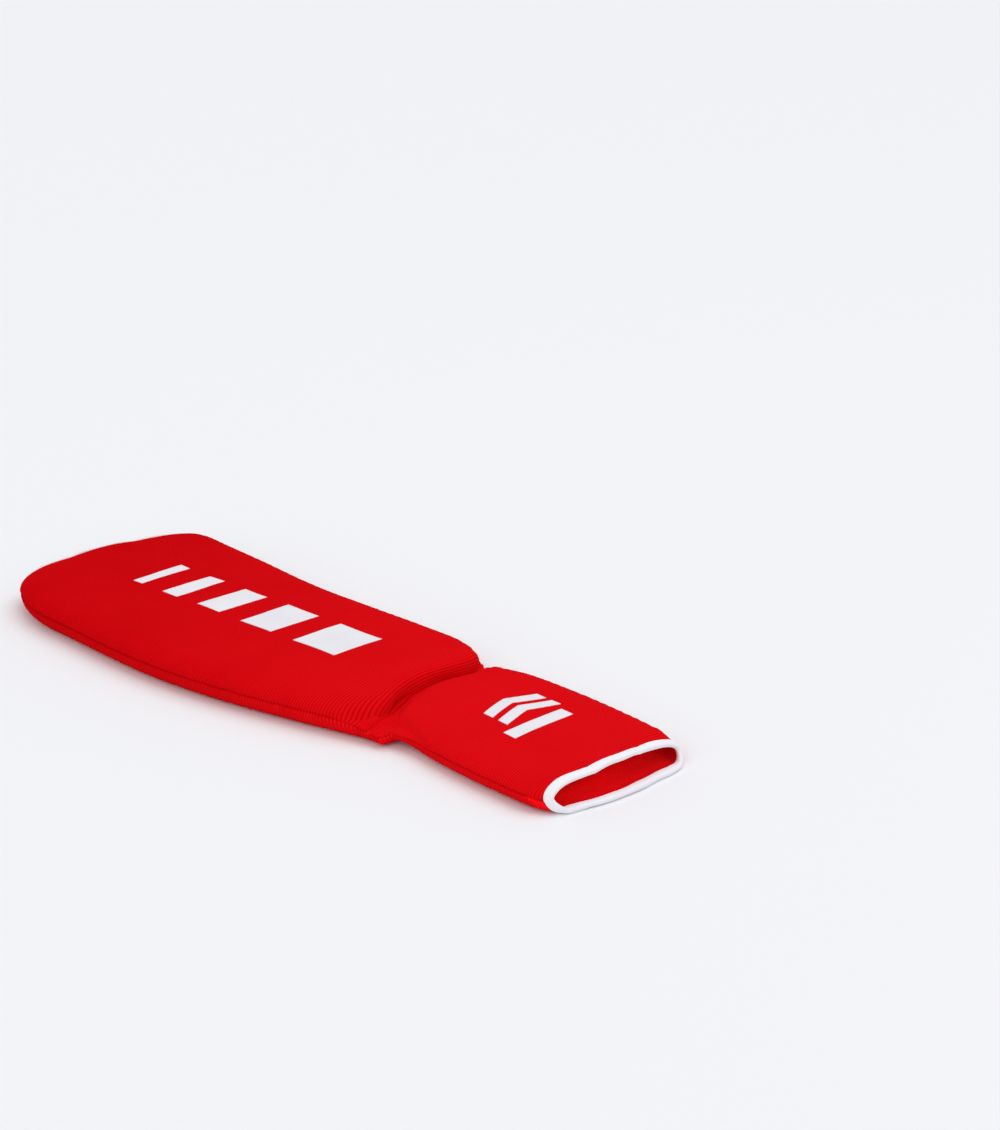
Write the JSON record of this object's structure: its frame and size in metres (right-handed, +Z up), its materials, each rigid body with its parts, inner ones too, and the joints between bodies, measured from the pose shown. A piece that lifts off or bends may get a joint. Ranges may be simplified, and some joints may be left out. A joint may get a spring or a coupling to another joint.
{
  "type": "padded slip-on limb guard",
  "caption": "Knitted slip-on guard for the forearm and hand or the shin and instep: long and short foam pads joined by a soft fold, with taped open ends and a heel opening.",
  "frame": {"origin": "on the resting plane, under the middle of the guard laid flat with its printed side up", "axes": "+X along the guard from the long section's open end to the short section's opening, +Y towards its left side seam, +Z up out of the printed side"},
  "size_m": [0.4713, 0.157, 0.0232],
  "materials": {
    "knit": "matte red rib knit",
    "lining": "matte red woven lining",
    "foam": "matte closed-cell foam",
    "binding": "matte white stretch binding tape",
    "seam_thread": "matte red overlock thread",
    "heel_edging": "matte white overlock thread",
    "print": "satin white heat-transfer film"
  },
  "bodies": {
    "shin": {"shin_front_knit": "knit", "shin_back_knit": "knit", "ankle_fold_knit": "knit", "shin_foam_pad": "foam", "shin_pad_lining": "lining", "shin_pocket_seam": "seam_thread", "shin_side_seam_left": "seam_thread", "shin_side_seam_right": "seam_thread", "top_opening_binding": "binding", "shin_heel_edge": "heel_edging", "shin_print_bar_1": "print", "shin_print_bar_2": "print", "shin_print_bar_3": "print", "shin_print_bar_4": "print", "shin_print_bar_5": "print"},
    "instep": {"instep_front_knit": "knit", "instep_back_knit": "knit", "instep_foam_pad": "foam", "instep_pad_lining": "lining", "instep_pocket_seam": "seam_thread", "instep_side_seam_left": "seam_thread", "instep_side_seam_right": "seam_thread", "toe_opening_binding": "binding", "instep_heel_edge": "heel_edging", "instep_print_bar": "print", "instep_print_chevron_1": "print", "instep_print_chevron_2": "print"}
  },
  "joints": [
    {"name": "ankle_bend", "type": "hinge", "parent": "shin", "child": "instep", "pos_m": [0.073, 0, 0.006], "axis": [0, -1, 0], "range_deg": [-75, 90], "deforming": ["ankle_fold_knit"]}
  ]
}
